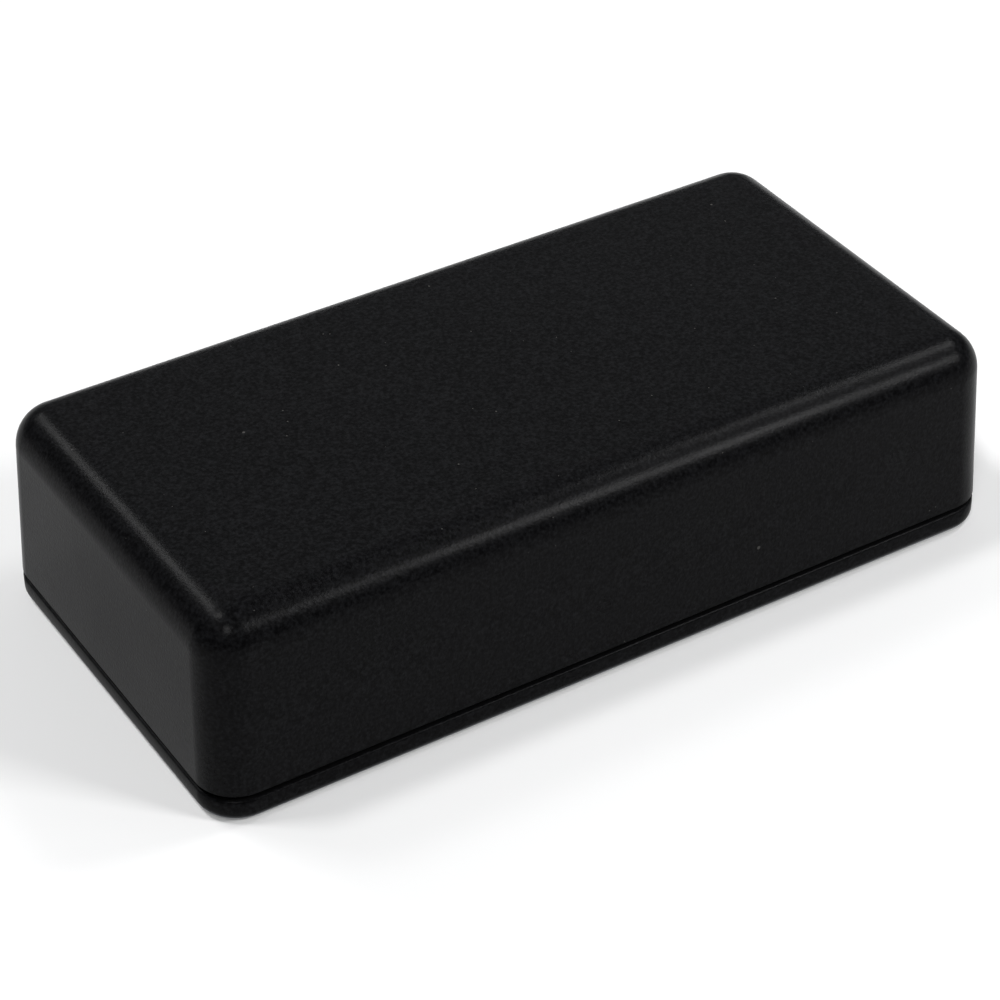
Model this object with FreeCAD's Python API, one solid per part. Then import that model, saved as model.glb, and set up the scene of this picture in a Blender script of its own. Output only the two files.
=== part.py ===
"""Plastic project box: a deep moulded cover screwed down onto a shallow base.

The box stands on its base. The origin is the middle of its underside, X runs along its length, Y from
its front long side to its rear one, and Z is up. All sizes are in millimetres and angles in degrees.
The cover rests on four pads in the base's corners, and a screw comes up through each pad into a boss.
"""

import FreeCAD
import Part
import math
import os

# Outer form
length = 80.0
width = 40.0
height = 20.0
edge_radius = 3.8  # of the four upright corners and of the edge round the top
draft_angle = 2.2
wall = 2.0

# Base
floor_thickness = 2.0
flange_height = 2.35
foot_edge_radius = 1.1
lip_thickness = 1.0
lip_height = 2.2
lip_chamfer = 0.3

# Seam between cover and base
seam_gap = 0.4
rim_thickness = 0.9
lip_side_clearance = 0.15
lip_top_clearance = 0.3
edge_break = 0.2

# Corner bosses in the cover, and the pads that they stand on
boss_diameter = 6.0
boss_lip_gap = 0.55
boss_mouth_chamfer = 0.4
boss_root = 0.8
pad_height = 1.4
bore_past_tip = 1.2
gusset_thickness = 1.2
gusset_lip_gap = 0.4

# Countersunk self-tapping screws
thread_diameter = 2.9
thread_clearance = 0.05
screw_length = 9.5
head_diameter = 5.5
head_rim = 0.3
head_below_face = 0.2
countersink_angle = 90.0
shank_clearance = 0.2
tip_length = 1.6
tip_diameter = 0.9
recess_span = 2.9
recess_bottom_span = 1.0
recess_wing = 0.8
recess_depth = 1.5

# Standoffs for a circuit board, on the base
standoff_inset_x = 15.0
standoff_inset_y = 8.0
standoff_diameter = 5.0
standoff_height = 3.0
standoff_hole_diameter = 2.2
standoff_floor_left = 0.9
standoff_root = 0.6

# Upright card guides, inside the cover's long walls
guide_columns = 3
guide_pitch = 20.0
guide_slot = 1.8
guide_rib = 1.0
guide_depth = 1.2
guide_lip_gap = 0.4

# Heights and insets that the pieces share
draft_slope = math.tan(math.radians(draft_angle))
rim_z = flange_height + seam_gap
lip_top_z = flange_height + lip_height
rebate_top_z = lip_top_z + lip_top_clearance
ceiling_z = height - wall
pad_top_z = floor_thickness + pad_height
standoff_top_z = floor_thickness + standoff_height
lip_outer_inset = rim_thickness + lip_side_clearance
lip_inner_inset = lip_outer_inset + lip_thickness
boss_radius = boss_diameter / 2
screw_inset = lip_inner_inset + boss_lip_gap + boss_radius
screw_x = length / 2 - screw_inset
screw_y = width / 2 - screw_inset
thread_radius = thread_diameter / 2
head_radius = head_diameter / 2
cone_slope = math.tan(math.radians(countersink_angle / 2))
cone_start_z = head_below_face + head_rim
cone_end_z = cone_start_z + (head_radius - thread_radius) / cone_slope
screw_tip_z = head_below_face + screw_length
standoff_x = length / 2 - standoff_inset_x
standoff_y = width / 2 - standoff_inset_y

UP = FreeCAD.Vector(0, 0, 1)
LOOP = [(-1, -1), (1, -1), (1, 1), (-1, 1)]
PAST = 1.0  # how far a cutting solid runs past the face that it opens
SUNK = 0.5  # how deep a post's root goes into the wall that it stands on
TINY = 1e-4


def point(x, y, z):
    return FreeCAD.Vector(x, y, z)


def corners(x, y):
    """The four places mirrored about both middle planes."""
    return [(sx * x, sy * y) for sx in (-1, 1) for sy in (-1, 1)]


def prism(outline, run):
    """A closed outline of straight edges, drawn out along run."""
    return Part.Face(Part.makePolygon(outline + outline[:1])).extrude(run)


def rounded_block(inset, low_z, high_z, slope=0.0, slope_from=0.0, round_top=False):
    """A block inset from the box's outline, with its upright edges rounded, and its top ones if asked.

    Its sides lean inwards by slope, counted from the height slope_from, where the inset is as given.
    The rounding is the box's own less the inset, so blocks of different insets stay parallel.
    """

    def ring(z):
        off = inset + slope * (z - slope_from)
        return [point(u * (length / 2 - off), v * (width / 2 - off), z) for u, v in LOOP]

    low, high = ring(low_z), ring(high_z)
    sides = [[low[i - 1], low[i], high[i], high[i - 1]] for i in range(len(LOOP))]
    outlines = [low[::-1], high] + sides
    block = Part.Solid(Part.Shell([Part.Face(Part.makePolygon(o + o[:1])) for o in outlines]))
    edges = [edge for edge in block.Edges if edge.BoundBox.ZLength > high_z - low_z - TINY]
    if round_top:
        edges += edges_at(block, high_z)
    return block.makeFillet(max(edge_radius - inset, edge_break), edges)


def edges_at(shape, z):
    """The edges that lie wholly at one height."""
    return [e for e in shape.Edges if abs(e.BoundBox.ZMin - z) < TINY and abs(e.BoundBox.ZMax - z) < TINY]


def turned(outline, x, y):
    """A solid of revolution about the upright axis at x, y, from an outline of (radius, z) pairs."""
    wire = Part.makePolygon([point(x + r, y, z) for r, z in outline + outline[:1]])
    return Part.Face(wire).revolve(point(x, y, 0), UP, 360)


def post(x, y, radius, root, root_z, end_z):
    """A round post on the wall at root_z, where it flares by root, that ends flat at end_z."""
    step = math.copysign(1.0, end_z - root_z)
    flare = radius + root
    sunk_z = root_z - step * SUNK
    flank = [(flare, sunk_z), (flare, root_z), (radius, root_z + step * root), (radius, end_z)]
    return turned([(0, sunk_z)] + flank + [(0, end_z)], x, y)


def make_shell():
    """The hollow drafted form, with walls of one thickness and a broken edge at the seam."""
    shell = rounded_block(0, rim_z, height, draft_slope, rim_z, round_top=True)
    shell = shell.makeChamfer(edge_break, edges_at(shell, rim_z))
    return shell.cut(rounded_block(wall, rim_z - PAST, ceiling_z, draft_slope, rim_z, round_top=True))


def make_gussets(x, y):
    """Two short webs that tie a boss to the walls beside it."""
    low_z = rebate_top_z + gusset_lip_gap
    tall = ceiling_z + wall / 2 - low_z
    half = gusset_thickness / 2
    reach_x = length / 2 - wall / 2 - abs(x)
    reach_y = width / 2 - wall / 2 - abs(y)
    end_corner = point(min(x, x + math.copysign(reach_x, x)), y - half, low_z)
    side_corner = point(x - half, min(y, y + math.copysign(reach_y, y)), low_z)
    to_end = Part.makeBox(reach_x, gusset_thickness, tall, end_corner)
    to_side = Part.makeBox(gusset_thickness, reach_y, tall, side_corner)
    return [to_end, to_side]


def make_guides():
    """Pairs of upright ribs on both long walls, each pair a slot for the edge of a board."""
    low_z = rebate_top_z + guide_lip_gap
    tall = ceiling_z + wall / 2 - low_z
    middle = (guide_columns - 1) / 2
    foot_y = width / 2 - wall - draft_slope * (low_z - rim_z) - guide_depth
    head_y = foot_y - draft_slope * tall
    outer_y = width / 2 - wall / 2
    high_z = low_z + tall
    outline = [(foot_y, low_z), (outer_y, low_z), (outer_y, high_z), (head_y, high_z)]
    ribs = []
    for column in range(guide_columns):
        x = (column - middle) * guide_pitch
        for left in (x - guide_slot / 2 - guide_rib, x + guide_slot / 2):
            for side in (-1, 1):
                ribs.append(prism([point(left, side * v, z) for v, z in outline], point(guide_rib, 0, 0)))
    return ribs


def make_cover():
    inside = [post(x, y, boss_radius, boss_root, ceiling_z, pad_top_z) for x, y in corners(screw_x, screw_y)]
    for x, y in corners(screw_x, screw_y):
        inside += make_gussets(x, y)
    inside += make_guides()
    within = rounded_block(wall / 2, rim_z - PAST, height - wall / 2, draft_slope, rim_z, round_top=True)
    fittings = inside[0].fuse(inside[1:]).common(within)
    rebate = rounded_block(rim_thickness, rim_z - PAST, rebate_top_z)
    cover = make_shell().cut(rebate).fuse(fittings)
    bore_radius = thread_radius + thread_clearance
    bore_top_z = screw_tip_z + bore_past_tip
    mouth = bore_radius + boss_mouth_chamfer
    bores = [
        turned(
            [
                (0, pad_top_z - PAST),
                (mouth, pad_top_z - PAST),
                (mouth, pad_top_z),
                (bore_radius, pad_top_z + boss_mouth_chamfer),
                (bore_radius, bore_top_z),
                (0, bore_top_z),
            ],
            x,
            y,
        )
        for x, y in corners(screw_x, screw_y)
    ]
    return cover.cut(bores).removeSplitter()


def make_lip():
    """The upright lip that the cover's rim fits over, with a chamfered top."""
    low_z = floor_thickness / 2
    outer = rounded_block(lip_outer_inset, low_z, lip_top_z)
    outer = outer.makeChamfer(lip_chamfer, edges_at(outer, lip_top_z))
    return outer.cut(rounded_block(lip_inner_inset, low_z - PAST, lip_top_z + PAST))


def make_screw_hole(x, y):
    """A countersink in the underside and a clearance hole through floor and pad."""
    hole_radius = thread_radius + shank_clearance
    face_radius = head_radius + cone_start_z * cone_slope
    hole_z = cone_start_z + (head_radius - hole_radius) / cone_slope
    return turned(
        [
            (0, -PAST),
            (face_radius, -PAST),
            (face_radius, 0),
            (hole_radius, hole_z),
            (hole_radius, pad_top_z + PAST),
            (0, pad_top_z + PAST),
        ],
        x,
        y,
    )


def make_base():
    tray = rounded_block(0, 0, flange_height)
    tray = tray.makeFillet(foot_edge_radius, edges_at(tray, 0))
    tray = tray.makeChamfer(edge_break, edges_at(tray, flange_height))
    tray = tray.cut(rounded_block(lip_inner_inset, floor_thickness, flange_height + PAST))
    pads = [
        Part.makeCylinder(boss_radius, pad_height + SUNK, point(x, y, floor_thickness - SUNK), UP)
        for x, y in corners(screw_x, screw_y)
    ]
    standoffs = [
        post(x, y, standoff_diameter / 2, standoff_root, floor_thickness, standoff_top_z)
        for x, y in corners(standoff_x, standoff_y)
    ]
    tray = tray.fuse([make_lip()] + pads + standoffs)
    holes = [make_screw_hole(x, y) for x, y in corners(screw_x, screw_y)]
    holes += [
        Part.makeCylinder(
            standoff_hole_diameter / 2,
            standoff_top_z - standoff_floor_left + PAST,
            point(x, y, standoff_floor_left),
            UP,
        )
        for x, y in corners(standoff_x, standoff_y)
    ]
    return tray.cut(holes).removeSplitter()


def recess_slot(x, y, along_x):
    """One of the two crossed slots of the recess, which narrows towards its bottom."""
    mouth = recess_span / 2
    bottom = recess_bottom_span / 2
    outer = mouth + (mouth - bottom) / recess_depth * PAST
    low_z = head_below_face - PAST
    bottom_z = head_below_face + recess_depth
    side = -recess_wing / 2
    outline = [(-outer, low_z), (outer, low_z), (bottom, bottom_z), (-bottom, bottom_z)]
    if along_x:
        return prism([point(x + u, y + side, z) for u, z in outline], point(0, recess_wing, 0))
    return prism([point(x + side, y + u, z) for u, z in outline], point(recess_wing, 0, 0))


def make_screw(x, y):
    """A countersunk screw standing head down, with a cross recess in its head."""
    shank_end_z = screw_tip_z - tip_length
    body = turned(
        [
            (0, head_below_face),
            (head_radius, head_below_face),
            (head_radius, cone_start_z),
            (thread_radius, cone_end_z),
            (thread_radius, shank_end_z),
            (tip_diameter / 2, screw_tip_z),
            (0, screw_tip_z),
        ],
        x,
        y,
    )
    return body.cut([recess_slot(x, y, along_x) for along_x in (True, False)])


def save(name, shape):
    """Writes one piece, which has to be a single closed solid."""
    solids = shape.Solids
    print(name, "solids", len(solids), "valid", shape.isValid(), "volume", round(shape.Volume, 2))
    solids[0].exportStep(os.path.join("parts", name + ".step"))


def main():
    os.makedirs("parts", exist_ok=True)
    save("cover", make_cover())
    save("base", make_base())
    ends = {-1: "left", 1: "right"}
    sides = {-1: "front", 1: "rear"}
    for end, end_name in ends.items():
        for side, side_name in sides.items():
            save(f"screw_{side_name}_{end_name}", make_screw(end * screw_x, side * screw_y))


main()
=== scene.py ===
"""Looks of a black plastic project box: two spark-textured mouldings and the four screws that join them.

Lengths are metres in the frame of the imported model: X along the box, Y towards its rear, Z up.
"""

import math

import bmesh
import bpy
from mathutils import Euler, Matrix, Vector


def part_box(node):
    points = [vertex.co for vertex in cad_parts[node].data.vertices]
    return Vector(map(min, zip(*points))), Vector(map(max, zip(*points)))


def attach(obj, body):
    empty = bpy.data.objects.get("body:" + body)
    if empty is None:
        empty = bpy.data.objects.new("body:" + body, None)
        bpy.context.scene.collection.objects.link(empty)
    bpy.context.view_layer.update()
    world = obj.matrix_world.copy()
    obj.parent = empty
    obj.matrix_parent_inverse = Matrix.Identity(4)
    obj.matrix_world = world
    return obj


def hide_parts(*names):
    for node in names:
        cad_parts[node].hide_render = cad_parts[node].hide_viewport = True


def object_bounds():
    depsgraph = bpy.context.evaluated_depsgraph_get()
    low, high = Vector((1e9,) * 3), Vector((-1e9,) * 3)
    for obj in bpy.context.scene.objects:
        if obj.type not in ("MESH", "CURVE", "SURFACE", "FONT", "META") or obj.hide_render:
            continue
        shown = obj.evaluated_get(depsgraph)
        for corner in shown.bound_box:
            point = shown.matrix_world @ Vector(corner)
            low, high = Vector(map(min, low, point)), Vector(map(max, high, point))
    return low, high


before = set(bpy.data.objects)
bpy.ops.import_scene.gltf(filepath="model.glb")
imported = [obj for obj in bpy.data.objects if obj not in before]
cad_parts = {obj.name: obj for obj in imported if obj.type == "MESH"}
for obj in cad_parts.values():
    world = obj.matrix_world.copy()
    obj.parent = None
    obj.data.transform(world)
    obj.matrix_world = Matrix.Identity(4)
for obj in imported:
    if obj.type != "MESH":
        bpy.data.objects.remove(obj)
cad_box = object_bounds()

MM = 0.001
WELD = 0.001 * MM

# The box's outer form, as its construction has it
COVER_LOW, COVER_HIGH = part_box("cover")
BASE_LOW, BASE_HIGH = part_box("base")
EDGE_RADIUS = 3.8 * MM
DRAFT_SLOPE = math.tan(math.radians(2.2))


# Meshes


def new_piece(name, mesh, body, replaced, materials):
    """Puts a finished mesh into the scene as a piece that rides on a body and stands for a CAD node."""
    piece = bpy.data.objects.new(name, mesh)
    bpy.context.scene.collection.objects.link(piece)
    for material in materials:
        mesh.materials.append(material)
    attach(piece, body)
    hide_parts(replaced)
    return piece


def shade_by_angle(edit, corner):
    """Smooth shading everywhere but across real corners, where faces meet at more than the given angle."""
    for face in edit.faces:
        face.smooth = True
    for edge in edit.edges:
        edge.smooth = edge.calc_face_angle(math.pi) < corner


# Mouldings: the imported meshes, welded so that their rounds shade without a seam
MOULDING_CORNER = math.radians(50)  # faces that meet at more stay crisp
SKIN_DEPTH = 0.45 * MM  # how far in from the outer form a face still counts as the textured skin
LOOKS_DOWN = -0.5  # a face whose normal is lower than this belongs to an underside
LARGEST_FACES_LEAD = 100  # the highest weight that the normals' modifier takes


def depth_under_skin(point, low, high, draft_slope, round_top):
    """How far inside the outer form a point lies: 0 on the surface, more towards the middle."""
    lean = draft_slope * (point.z - low.z)
    across = [
        abs(point.x) - (high.x - lean - EDGE_RADIUS),
        abs(point.y) - (high.y - lean - EDGE_RADIUS),
    ]
    if round_top:
        across.append(point.z - (high.z - EDGE_RADIUS))
    outside = math.sqrt(sum(max(a, 0.0) ** 2 for a in across))
    return EDGE_RADIUS - outside - min(max(across), 0.0)


def on_cover_skin(face):
    centre = face.calc_center_median()
    return depth_under_skin(centre, COVER_LOW, COVER_HIGH, DRAFT_SLOPE, True) < SKIN_DEPTH


def on_base_skin(face):
    centre = face.calc_center_median()
    if centre.z < SKIN_DEPTH and face.normal.z < LOOKS_DOWN:
        return True
    return depth_under_skin(centre, BASE_LOW, BASE_HIGH, 0.0, False) < SKIN_DEPTH


def welded_moulding(node, is_skin):
    """A seamless copy of a moulding's mesh. Its outer skin takes the first material, the rest the second."""
    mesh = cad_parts[node].data.copy()
    mesh.name = node + "_moulding"
    mesh.materials.clear()
    edit = bmesh.new()
    edit.from_mesh(mesh)
    bmesh.ops.remove_doubles(edit, verts=edit.verts, dist=WELD)
    bmesh.ops.dissolve_degenerate(edit, edges=edit.edges, dist=WELD)
    shade_by_angle(edit, MOULDING_CORNER)
    for face in edit.faces:
        face.material_index = 0 if is_skin(face) else 1
    edit.to_mesh(mesh)
    edit.free()
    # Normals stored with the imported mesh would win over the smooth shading
    if "custom_normal" in mesh.attributes:
        mesh.attributes.remove(mesh.attributes["custom_normal"])
    return mesh


def weigh_normals(moulding):
    """Flat faces keep their flat normals, so that only the rounds between them turn the light."""
    weighted = moulding.modifiers.new("flat faces lead", "WEIGHTED_NORMAL")
    weighted.weight = LARGEST_FACES_LEAD
    weighted.keep_sharp = True


# Screw: a countersunk thread-forming screw, head down, turned about its own axis
HEAD_RADIUS = 2.75 * MM
HEAD_FACE_Z = 0.2 * MM
HEAD_RIM = 0.3 * MM
HEAD_EDGE = 0.08 * MM
ROOT_RADIUS = 1.08 * MM
CREST_RADIUS = 1.45 * MM
PITCH = 1.1 * MM
# One turn of the thread: share of the pitch along the screw, and height from 0 at the root to 1 at the crest
THREAD_PROFILE = [(0.0, 0.0), (0.20, 1.0), (0.27, 1.0), (0.47, 0.0)]
THREAD_START_Z = 2.2 * MM
THREAD_FADE = 0.7 * MM
TAPER_Z = 8.1 * MM
TIP_Z = 9.7 * MM
TIP_RADIUS = 0.45 * MM
POINT_ROUND = 0.15 * MM
ROUND_STEPS = 48
SCREW_CORNER = math.radians(32)

# The cross recess in the screw's head: two tapered blades, given as half sizes, and a cone between them
RECESS_SPAN = 1.45 * MM
RECESS_BOTTOM_SPAN = 0.5 * MM
RECESS_WING = 0.4 * MM
RECESS_BOTTOM_WING = 0.28 * MM
RECESS_DEPTH = 1.5 * MM
RECESS_HUB = 0.85 * MM
HUB_STEPS = 24
PAST_FACE = 0.1 * MM  # how far the cutters stand out of the head's face
SPAN_PAST_FACE = 1.07  # how much longer a blade is there
WING_PAST_FACE = 1.03  # how much thicker a blade is there


def around(radius, turn, z):
    """A place beside the screw's axis."""
    return radius * math.cos(turn), radius * math.sin(turn), z


def ring_of(edit, radius, z):
    turns = [2 * math.pi * i / ROUND_STEPS for i in range(ROUND_STEPS)]
    return [edit.verts.new(around(radius, turn, z)) for turn in turns]


def bridge(edit, lower, upper):
    for i in range(ROUND_STEPS):
        j = (i + 1) % ROUND_STEPS
        edit.faces.new((lower[i], lower[j], upper[j], upper[i]))


def screw_radius(z, rise):
    """Radius of the thread at a height: rise is 0 at the root and 1 at the crest."""
    taper = min(max((z - TAPER_Z) / (TIP_Z - TAPER_Z), 0.0), 1.0)
    crest = CREST_RADIUS + (TIP_RADIUS - CREST_RADIUS) * taper
    root = min(ROOT_RADIUS, crest)
    fade = min(max((z - THREAD_START_Z) / THREAD_FADE, 0.0), 1.0)
    return root + (crest - root) * rise * fade


def add_head(edit):
    """The flat face, the rim and the countersunk cone, down to the root where the thread starts."""
    profile = [
        (HEAD_RADIUS - HEAD_EDGE, HEAD_FACE_Z),
        (HEAD_RADIUS, HEAD_FACE_Z + HEAD_EDGE),
        (HEAD_RADIUS, HEAD_FACE_Z + HEAD_RIM),
        (ROOT_RADIUS, THREAD_START_Z),
    ]
    rings = [ring_of(edit, radius, z) for radius, z in profile]
    edit.faces.new(rings[0][::-1])
    for lower, upper in zip(rings, rings[1:]):
        bridge(edit, lower, upper)


def wind_thread(edit, end_z):
    """The thread: one strip that winds up the screw and is pressed level where it starts and ends."""
    turns = math.ceil((end_z - THREAD_START_Z) / PITCH) + 1
    rows = []
    for step in range(turns * ROUND_STEPS + 1):
        turn = 2 * math.pi * step / ROUND_STEPS
        row = []
        for share, rise in THREAD_PROFILE + [(1.0, 0.0)]:
            z = THREAD_START_Z - PITCH + PITCH * (step / ROUND_STEPS + share)
            z = min(max(z, THREAD_START_Z), end_z)
            row.append(edit.verts.new(around(screw_radius(z, rise), turn, z)))
        rows.append(row)
    for row, following in zip(rows, rows[1:]):
        for k in range(len(THREAD_PROFILE)):
            edit.faces.new((row[k], following[k], following[k + 1], row[k + 1]))


def add_point(edit, start_z):
    shoulder = ring_of(edit, screw_radius(start_z, 0.0), start_z)
    point = ring_of(edit, screw_radius(start_z, 0.0) - POINT_ROUND, TIP_Z)
    bridge(edit, shoulder, point)
    edit.faces.new(point)


def screw_body():
    """The closed screw before its recess is pressed in."""
    edit = bmesh.new()
    thread_end_z = TIP_Z - POINT_ROUND
    add_head(edit)
    wind_thread(edit, thread_end_z)
    add_point(edit, thread_end_z)
    bmesh.ops.remove_doubles(edit, verts=edit.verts, dist=WELD)
    bmesh.ops.dissolve_degenerate(edit, edges=edit.edges, dist=WELD)
    bmesh.ops.recalc_face_normals(edit, faces=edit.faces)
    return edit


def recess_wing(edit, turn):
    """A tapered blade through the middle of the recess, turned about the screw's axis."""
    ends = (
        (RECESS_SPAN * SPAN_PAST_FACE, RECESS_WING * WING_PAST_FACE, HEAD_FACE_Z - PAST_FACE),
        (RECESS_BOTTOM_SPAN, RECESS_BOTTOM_WING, HEAD_FACE_Z + RECESS_DEPTH),
    )
    spin = Matrix.Rotation(turn, 3, "Z")
    corners = [
        edit.verts.new(spin @ Vector((u * span, v * wing, z)))
        for span, wing, z in ends
        for u, v in ((-1, -1), (1, -1), (1, 1), (-1, 1))
    ]
    bmesh.ops.convex_hull(edit, input=corners)


def recess_hub(edit):
    """The cone between the wings."""
    turns = [2 * math.pi * i / HUB_STEPS for i in range(HUB_STEPS)]
    cone = [edit.verts.new(around(RECESS_HUB, turn, HEAD_FACE_Z - PAST_FACE)) for turn in turns]
    cone.append(edit.verts.new((0, 0, HEAD_FACE_Z + RECESS_DEPTH)))
    bmesh.ops.convex_hull(edit, input=cone)


def cut(mesh, draw_cutter, *values):
    """The mesh with a cutter taken out of it, which draw_cutter draws from the values."""
    edit = bmesh.new()
    draw_cutter(edit, *values)
    cutter_mesh = bpy.data.meshes.new("cutter")
    edit.to_mesh(cutter_mesh)
    edit.free()
    cutter = bpy.data.objects.new("cutter", cutter_mesh)
    target = bpy.data.objects.new("target", mesh)
    for thing in (cutter, target):
        bpy.context.scene.collection.objects.link(thing)
    boolean = target.modifiers.new("cut", "BOOLEAN")
    boolean.operation = "DIFFERENCE"
    boolean.solver = "EXACT"
    boolean.object = cutter
    bpy.context.view_layer.update()
    result = bpy.data.meshes.new_from_object(target.evaluated_get(bpy.context.evaluated_depsgraph_get()))
    for thing in (cutter, target):
        bpy.data.objects.remove(thing)
    return result


def screw_mesh():
    """The screw with its cross recess."""
    edit = screw_body()
    mesh = bpy.data.meshes.new("screw")
    edit.to_mesh(mesh)
    edit.free()
    mesh = cut(mesh, recess_wing, 0.0)
    mesh = cut(mesh, recess_wing, math.pi / 2)
    mesh = cut(mesh, recess_hub)
    edit = bmesh.new()
    edit.from_mesh(mesh)
    bmesh.ops.remove_doubles(edit, verts=edit.verts, dist=WELD)
    shade_by_angle(edit, SCREW_CORNER)
    edit.to_mesh(mesh)
    edit.free()
    return mesh


# Shader groups

# The colour sockets of a Mix node, by number because their names repeat
MIX_SHARE = 0
MIX_FIRST = 6
MIX_SECOND = 7
MIX_RESULT = 2


class Graph:
    """A node tree with short calls for adding and linking nodes."""

    def __init__(self, tree):
        self.tree = tree

    def add(self, kind, inputs=None, **settings):
        """A new node with its settings. Each input takes a value, or a link from another node's output."""
        node = self.tree.nodes.new("ShaderNode" + kind)
        for key, value in settings.items():
            setattr(node, key, value)
        for key, value in (inputs or {}).items():
            if isinstance(value, bpy.types.NodeSocket):
                self.tree.links.new(value, node.inputs[key])
            else:
                node.inputs[key].default_value = value
        return node

    def math(self, operation, a, b):
        return self.add("Math", {0: a, 1: b}, operation=operation).outputs["Value"]

    def remap(self, value, from_low, from_high, to_low, to_high):
        ranges = {"From Min": from_low, "From Max": from_high, "To Min": to_low, "To Max": to_high}
        return self.add("MapRange", {"Value": value, **ranges}).outputs["Result"]

    def blend(self, share, first, second):
        inputs = {MIX_SHARE: share, MIX_FIRST: first, MIX_SECOND: second}
        return self.add("Mix", inputs, data_type="RGBA").outputs[MIX_RESULT]


def shader_group(name, inputs, outputs):
    """A new group with named number inputs and outputs, ready to be filled."""
    tree = bpy.data.node_groups.new(name, "ShaderNodeTree")
    for label, value in inputs.items():
        socket = tree.interface.new_socket(label, in_out="INPUT", socket_type="NodeSocketFloat")
        socket.default_value = value
    for label in outputs:
        tree.interface.new_socket(label, in_out="OUTPUT", socket_type="NodeSocketFloat")
    entry = tree.nodes.new("NodeGroupInput")
    leave = tree.nodes.new("NodeGroupOutput")
    return Graph(tree), entry, leave


NOISE_RANGE = (0.3, 0.7)  # where nearly all of a noise texture's values lie
SPECKLE_FINENESS = 0.65  # as a share of the craters'
SPECKLE_SPARSENESS = 1.4  # above 1, light speckles are fewer than dark ones


def make_grain_group():
    """Spark-eroded mould texture: tiny random craters, with a little of their light and dark."""
    inputs = {"Grain per Metre": 4800.0}
    graph, entry, leave = shader_group("spark_eroded_grain", inputs, ["Height", "Speckle"])
    place = graph.add("TexCoord").outputs["Object"]
    per_metre = entry.outputs["Grain per Metre"]
    craters = graph.add("TexNoise", {"Vector": place, "Scale": per_metre, "Detail": 1.0, "Roughness": 0.5})
    coarser = graph.math("MULTIPLY", per_metre, SPECKLE_FINENESS)
    speckle = graph.add("TexNoise", {"Vector": place, "Scale": coarser, "Detail": 2.0, "Roughness": 0.6})
    even = graph.remap(speckle.outputs["Fac"], *NOISE_RANGE, 0.0, 1.0)
    graph.tree.links.new(craters.outputs["Fac"], leave.inputs["Height"])
    graph.tree.links.new(graph.math("POWER", even, SPECKLE_SPARSENESS), leave.inputs["Speckle"])
    return graph.tree


# Specks of dust that the photograph shows: place and radius in mm
SPECKS_IN_VIEW = [(13.8, -19.82, 7.4, 0.17), (31.1, 12.75, 20.0, 0.11), (-23.8, 3.7, 20.0, 0.13)]
HANDLING_PER_METRE = 70.0


def make_dust_and_glint_group():
    """Sparse light specks, which are dust and painted glints, and the broad faint unevenness of handled,
    moulded plastic.
    """
    inputs = {"Specks per Metre": 600.0, "Speck Radius": 0.1 * MM}
    graph, entry, leave = shader_group("dust_glints_and_handling", inputs, ["Dust", "Unevenness"])
    place = graph.add("TexCoord").outputs["Object"]
    per_metre = entry.outputs["Specks per Metre"]
    # Random light specks: dust, and painted glints
    cells = graph.add("TexVoronoi", {"Vector": place, "Scale": per_metre})
    distance = graph.math("DIVIDE", cells.outputs["Distance"], per_metre)
    size = graph.math("MULTIPLY", cells.outputs["Color"], entry.outputs["Speck Radius"])
    dust_and_glints = graph.math("LESS_THAN", distance, size)
    for *speck_place, radius in SPECKS_IN_VIEW:
        apart = graph.add("VectorMath", {0: place, 1: [p * MM for p in speck_place]}, operation="DISTANCE")
        speck = graph.math("LESS_THAN", apart.outputs["Value"], radius * MM)
        dust_and_glints = graph.math("MAXIMUM", dust_and_glints, speck)
    noise = {"Vector": place, "Scale": HANDLING_PER_METRE, "Detail": 3.0, "Roughness": 0.55}
    broad = graph.add("TexNoise", noise)
    graph.tree.links.new(dust_and_glints, leave.inputs["Dust"])
    graph.tree.links.new(broad.outputs["Fac"], leave.inputs["Unevenness"])
    return graph.tree


GRAIN = make_grain_group()
DUST_AND_GLINTS = make_dust_and_glint_group()


# Materials


def new_material(name):
    """An empty node material: its graph and its output's surface socket."""
    material = bpy.data.materials.new(name)
    material.use_nodes = True
    material.node_tree.nodes.clear()
    graph = Graph(material.node_tree)
    surface = graph.add("OutputMaterial").inputs["Surface"]
    return material, graph, surface


PLASTIC_SPECULAR = 0.040
ROUGHNESS_SPREAD = 0.03
# The grey of the light specks: dust, and painted glints
DUST_AND_GLINT_GREY = (0.16, 0.155, 0.145, 1)


def make_plastic(name, black, lighter, roughness, grain_per_metre, grain_depth, dust_and_glint_strength):
    """Black moulded plastic. Its grain, speckle and light specks, which are dust and painted glints, differ
    between the outside and the inside.
    """
    material, graph, surface = new_material(name)
    grain = graph.add("Group", {"Grain per Metre": grain_per_metre}, node_tree=GRAIN)
    dust_and_glints = graph.add("Group", node_tree=DUST_AND_GLINTS)
    bare = graph.blend(grain.outputs["Speckle"], black, lighter)
    # Light specks of dust and painted glints, lightening the colour
    dust_and_glint_share = graph.math("MULTIPLY", dust_and_glints.outputs["Dust"], dust_and_glint_strength)
    smoothest, roughest = roughness - ROUGHNESS_SPREAD, roughness + ROUGHNESS_SPREAD
    bump = graph.add("Bump", {"Height": grain.outputs["Height"], "Strength": 1.0, "Distance": grain_depth})
    finish = {
        "Base Color": graph.blend(dust_and_glint_share, bare, DUST_AND_GLINT_GREY),
        "Roughness": graph.remap(dust_and_glints.outputs["Unevenness"], *NOISE_RANGE, smoothest, roughest),
        "Specular IOR Level": PLASTIC_SPECULAR,
        "Normal": bump.outputs["Normal"],
    }
    shader = graph.add("BsdfPrincipled", finish)
    graph.tree.links.new(shader.outputs["BSDF"], surface)
    return material


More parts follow.
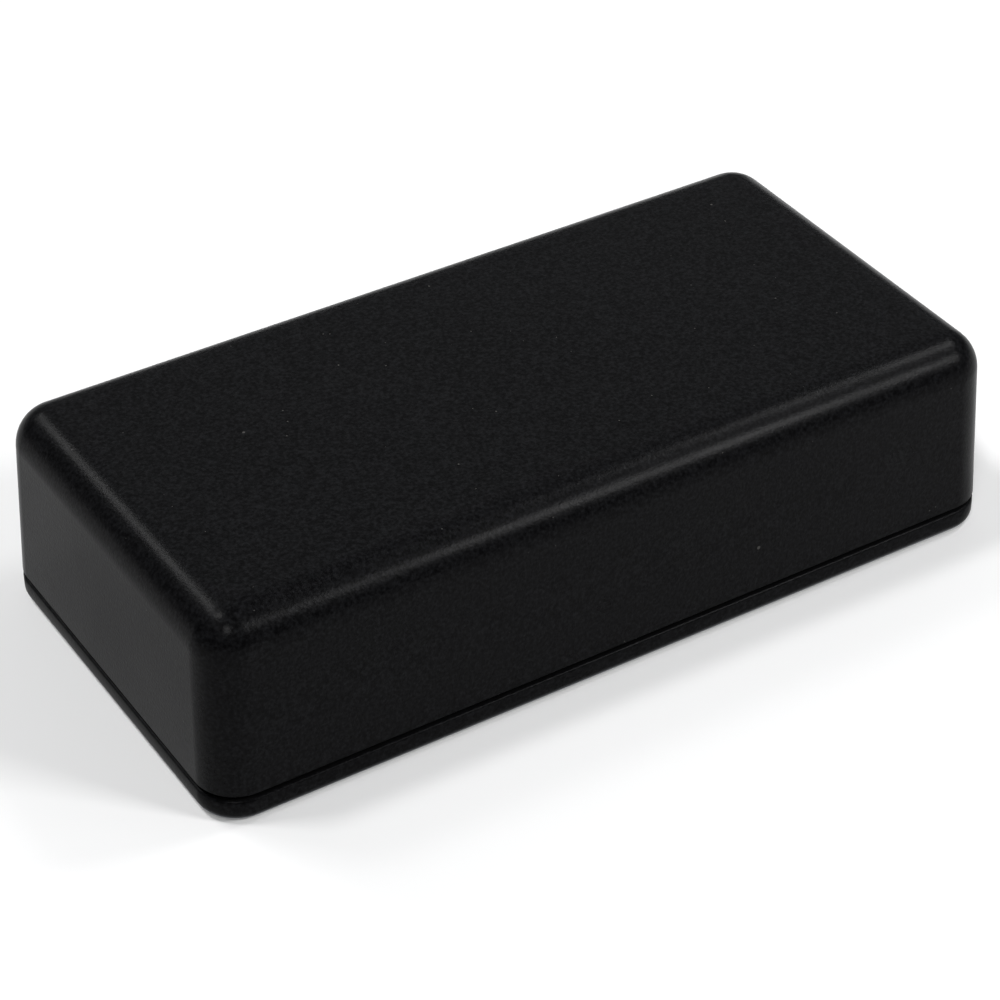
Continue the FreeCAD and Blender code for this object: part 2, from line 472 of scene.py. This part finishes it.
BLUISH_ZINC = (0.55, 0.56, 0.57, 1)
YELLOWISH_ZINC = (0.68, 0.67, 0.63, 1)
ZINC_ROUGHNESS = (0.24, 0.36)
TURNING_MARKS_PER_METRE = 2200.0
TURNING_MARKS_UNEVENNESS = 1.5
TURNING_MARKS_DEPTH = 0.006 * MM


def make_steel():
    """Bright zinc plating, with fine turning marks and the plating's faint unevenness."""
    material, graph, surface = new_material("zinc_plated_steel")
    dust_and_glints = graph.add("Group", node_tree=DUST_AND_GLINTS)
    place = graph.add("TexCoord").outputs["Object"]
    marks = {"Vector": place, "Scale": TURNING_MARKS_PER_METRE, "Distortion": TURNING_MARKS_UNEVENNESS}
    rings = graph.add("TexWave", marks, wave_type="RINGS", rings_direction="Z")
    height = rings.outputs["Fac"]
    bump = graph.add("Bump", {"Height": height, "Strength": 0.6, "Distance": TURNING_MARKS_DEPTH})
    unevenness = dust_and_glints.outputs["Unevenness"]
    finish = {
        "Base Color": graph.blend(unevenness, BLUISH_ZINC, YELLOWISH_ZINC),
        "Roughness": graph.remap(unevenness, *NOISE_RANGE, *ZINC_ROUGHNESS),
        "Metallic": 1.0,
        "Normal": bump.outputs["Normal"],
    }
    shader = graph.add("BsdfPrincipled", finish)
    graph.tree.links.new(shader.outputs["BSDF"], surface)
    return material


OUTSIDE = make_plastic(
    "spark_textured_plastic",
    black=(0.0014, 0.0014, 0.0016, 1),
    lighter=(0.0082, 0.0084, 0.0092, 1),
    roughness=0.29,
    grain_per_metre=4800.0,
    grain_depth=0.0135 * MM,
    dust_and_glint_strength=0.3,
)
INSIDE = make_plastic(
    "plain_moulded_plastic",
    black=(0.0035, 0.0035, 0.0037, 1),
    lighter=(0.0045, 0.0045, 0.0047, 1),
    roughness=0.3,
    grain_per_metre=2500.0,
    grain_depth=0.004 * MM,
    dust_and_glint_strength=0.2,
)
STEEL = make_steel()


# Pieces

for node, is_skin in (("cover", on_cover_skin), ("base", on_base_skin)):
    moulding = new_piece(
        node + "_moulding",
        welded_moulding(node, is_skin),
        node + "_body",
        node,
        [OUTSIDE, INSIDE],
    )
    weigh_normals(moulding)

SCREW_MESH = screw_mesh()
# How far each screw is turned, in degrees: each was driven home to an angle of its own
SCREW_TURNS = {"front_left": 12, "rear_left": 67, "front_right": 38, "rear_right": -9}
for place, turn in SCREW_TURNS.items():
    low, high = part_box("screw_" + place)
    screw = new_piece(
        "threaded_screw_" + place,
        SCREW_MESH.copy(),
        "base_body",
        "screw_" + place,
        [STEEL],
    )
    screw.location = ((low.x + high.x) / 2, (low.y + high.y) / 2, 0.0)
    screw.rotation_euler = Euler((0, 0, math.radians(turn)))


# Floor and room

FLOOR_RADIUS = 2.5
FLOOR_SIDES = 96
FLOOR_GAP = 0.01 * MM
FLOOR_WHITE = (0.72, 0.72, 0.72, 1)
# What the floor shows of itself to the camera and in reflections: little near the box, where its shadow
# falls, and full white far off, where the lamps hardly reach
GLOW_NEAR_BOX = 0.15
GLOW_FAR_OFF = 1.0
NEAR_BOX = 0.2
FAR_OFF = 0.8
CONTACT_REACH = 1.0 * MM  # shorter rays pass the floor, so that the face on it is lit from below


def make_floor_white():
    """White that keeps a shadow. It is clear from below and to what touches it."""
    material, graph, surface = new_material("white_floor")
    path = graph.add("LightPath")
    seen = graph.math("ADD", path.outputs["Is Camera Ray"], path.outputs["Is Glossy Ray"])
    seen = graph.math("ADD", seen, path.outputs["Is Transmission Ray"])
    place = graph.add("TexCoord").outputs["Object"]
    distance = graph.add("VectorMath", {0: place}, operation="LENGTH").outputs["Value"]
    glow = graph.remap(distance, NEAR_BOX, FAR_OFF, GLOW_NEAR_BOX, GLOW_FAR_OFF)
    finish = {
        "Base Color": FLOOR_WHITE,
        "Roughness": 1.0,
        "Specular IOR Level": 0.0,
        "Emission Color": (1, 1, 1, 1),
        "Emission Strength": graph.math("MULTIPLY", seen, glow),
    }
    white = graph.add("BsdfPrincipled", finish)
    clear = graph.add("BsdfTransparent")
    below = graph.add("NewGeometry").outputs["Backfacing"]
    touching = graph.math("LESS_THAN", path.outputs["Ray Length"], CONTACT_REACH)
    is_clear = graph.math("MAXIMUM", below, touching)
    sided = graph.add("MixShader", {0: is_clear, 1: white.outputs["BSDF"], 2: clear.outputs["BSDF"]})
    graph.tree.links.new(sided.outputs["Shader"], surface)
    return material


def make_floor():
    """A white disc just below the box."""
    edit = bmesh.new()
    bmesh.ops.create_circle(edit, cap_ends=True, radius=FLOOR_RADIUS, segments=FLOOR_SIDES)
    mesh = bpy.data.meshes.new("floor")
    edit.to_mesh(mesh)
    edit.free()
    mesh.materials.append(make_floor_white())
    floor = bpy.data.objects.new("floor", mesh)
    floor.location.z = cad_box[0].z - FLOOR_GAP
    bpy.context.scene.collection.objects.link(floor)


SKY_AT_HORIZON = 0.03
SKY_OVERHEAD = 0.12
SKY_EVEN_FROM = 0.65  # height of a direction above which the sky is even
SKY_TINT = (0.97, 1.0, 1.05, 1)
BELOW_HORIZON = 1.0


def make_world():
    """A dim room: darkest at the horizon, brighter overhead, and white ground below."""
    world = bpy.data.worlds.new("studio_air")
    world.use_nodes = True
    graph = Graph(world.node_tree)
    towards = graph.add("TexCoord").outputs["Generated"]
    height = graph.add("SeparateXYZ", {"Vector": towards}).outputs["Z"]
    sky = graph.remap(height, 0.0, SKY_EVEN_FROM, SKY_AT_HORIZON, SKY_OVERHEAD)
    is_sky = graph.math("GREATER_THAN", height, 0.0)
    strength = graph.remap(is_sky, 0.0, 1.0, BELOW_HORIZON, sky)
    background = world.node_tree.nodes["Background"]
    background.inputs["Color"].default_value = SKY_TINT
    graph.tree.links.new(strength, background.inputs["Strength"])
    bpy.context.scene.world = world


# Lamps and camera


def make_softbox(name, azimuth, elevation, distance, span, brightness):
    """A square lamp that faces the box. Azimuth runs from +X towards +Y, and brightness is radiance."""
    data = bpy.data.lights.new(name, "AREA")
    data.shape = "SQUARE"
    data.size = span
    data.energy = brightness * math.pi * span ** 2
    lamp = bpy.data.objects.new(name, data)
    a, e = math.radians(azimuth), math.radians(elevation)
    away = Vector((math.cos(e) * math.cos(a), math.cos(e) * math.sin(a), math.sin(e)))
    lamp.location = away * distance
    lamp.rotation_euler = away.to_track_quat("Z", "Y").to_euler()
    bpy.context.scene.collection.objects.link(lamp)


# The photograph's camera, found from the box's outline, seam and corners in it. Its azimuth runs from the
# box's front, -Y, towards +X.
FRAME_PIXELS = 1000
SENSOR = 36.0  # mm across the frame
CAMERA_AZIMUTH = math.radians(-31.743)
CAMERA_ELEVATION = math.radians(36.671)
CAMERA_ROLL = math.radians(-0.402)
CAMERA_DISTANCE = 280.63 * MM
CAMERA_FOCAL_PIXELS = 3137.1
AIM_RIGHT = -0.42 * MM
AIM_UP = -3.17 * MM
AIM_HEIGHT = 9.6 * MM
SEEN_FROM = 10.0 * MM
SEEN_TO = 10.0


def make_camera():
    """The photograph's view: from the front left, well above."""
    a, e = CAMERA_AZIMUTH, CAMERA_ELEVATION
    back = Vector((math.sin(a) * math.cos(e), -math.cos(a) * math.cos(e), math.sin(e)))
    right = Vector((math.cos(a), math.sin(a), 0))
    up = back.cross(right)
    target = right * AIM_RIGHT + up * AIM_UP + Vector((0, 0, AIM_HEIGHT))
    spin = Matrix.Rotation(CAMERA_ROLL, 3, back)
    axes = Matrix((spin @ right, spin @ up, back)).transposed()
    data = bpy.data.cameras.new("photo_view")
    data.sensor_width = SENSOR
    data.lens = CAMERA_FOCAL_PIXELS / FRAME_PIXELS * SENSOR
    data.clip_start = SEEN_FROM
    data.clip_end = SEEN_TO
    camera = bpy.data.objects.new("photo_view", data)
    camera.matrix_world = Matrix.Translation(target + back * CAMERA_DISTANCE) @ axes.to_4x4()
    bpy.context.scene.collection.objects.link(camera)
    bpy.context.scene.camera = camera


make_floor()
make_world()
# The bright line along the front edge
make_softbox("front_right_key", azimuth=-52.0, elevation=39.0, distance=1.0, span=0.20, brightness=36.0)
# The line above it, strongest at its right end
make_softbox("upper_right_key", azimuth=-7.0, elevation=53.0, distance=0.5, span=0.10, brightness=19.5)
# The faint light between those two lines
make_softbox("right_fill", azimuth=-33.0, elevation=52.0, distance=0.6, span=0.10, brightness=3.0)
# The streak along the left edge, and the light at its near end
make_softbox("rear_key", azimuth=110.5, elevation=41.0, distance=1.0, span=0.19, brightness=15.0)
make_softbox("rear_left_fill", azimuth=124.0, elevation=54.0, distance=1.0, span=0.17, brightness=13.0)
# The two bright spots on the near top corner
make_softbox("overhead_left", azimuth=148.0, elevation=67.0, distance=1.0, span=0.14, brightness=50.0)
make_softbox("front_left_spot", azimuth=-130.0, elevation=52.0, distance=0.6, span=0.08, brightness=38.0)
# The broad sheen on the top
make_softbox("dim_rear_panel", azimuth=57.0, elevation=42.0, distance=1.0, span=0.90, brightness=0.42)
make_camera()
bpy.context.scene.view_settings.view_transform = "Standard"
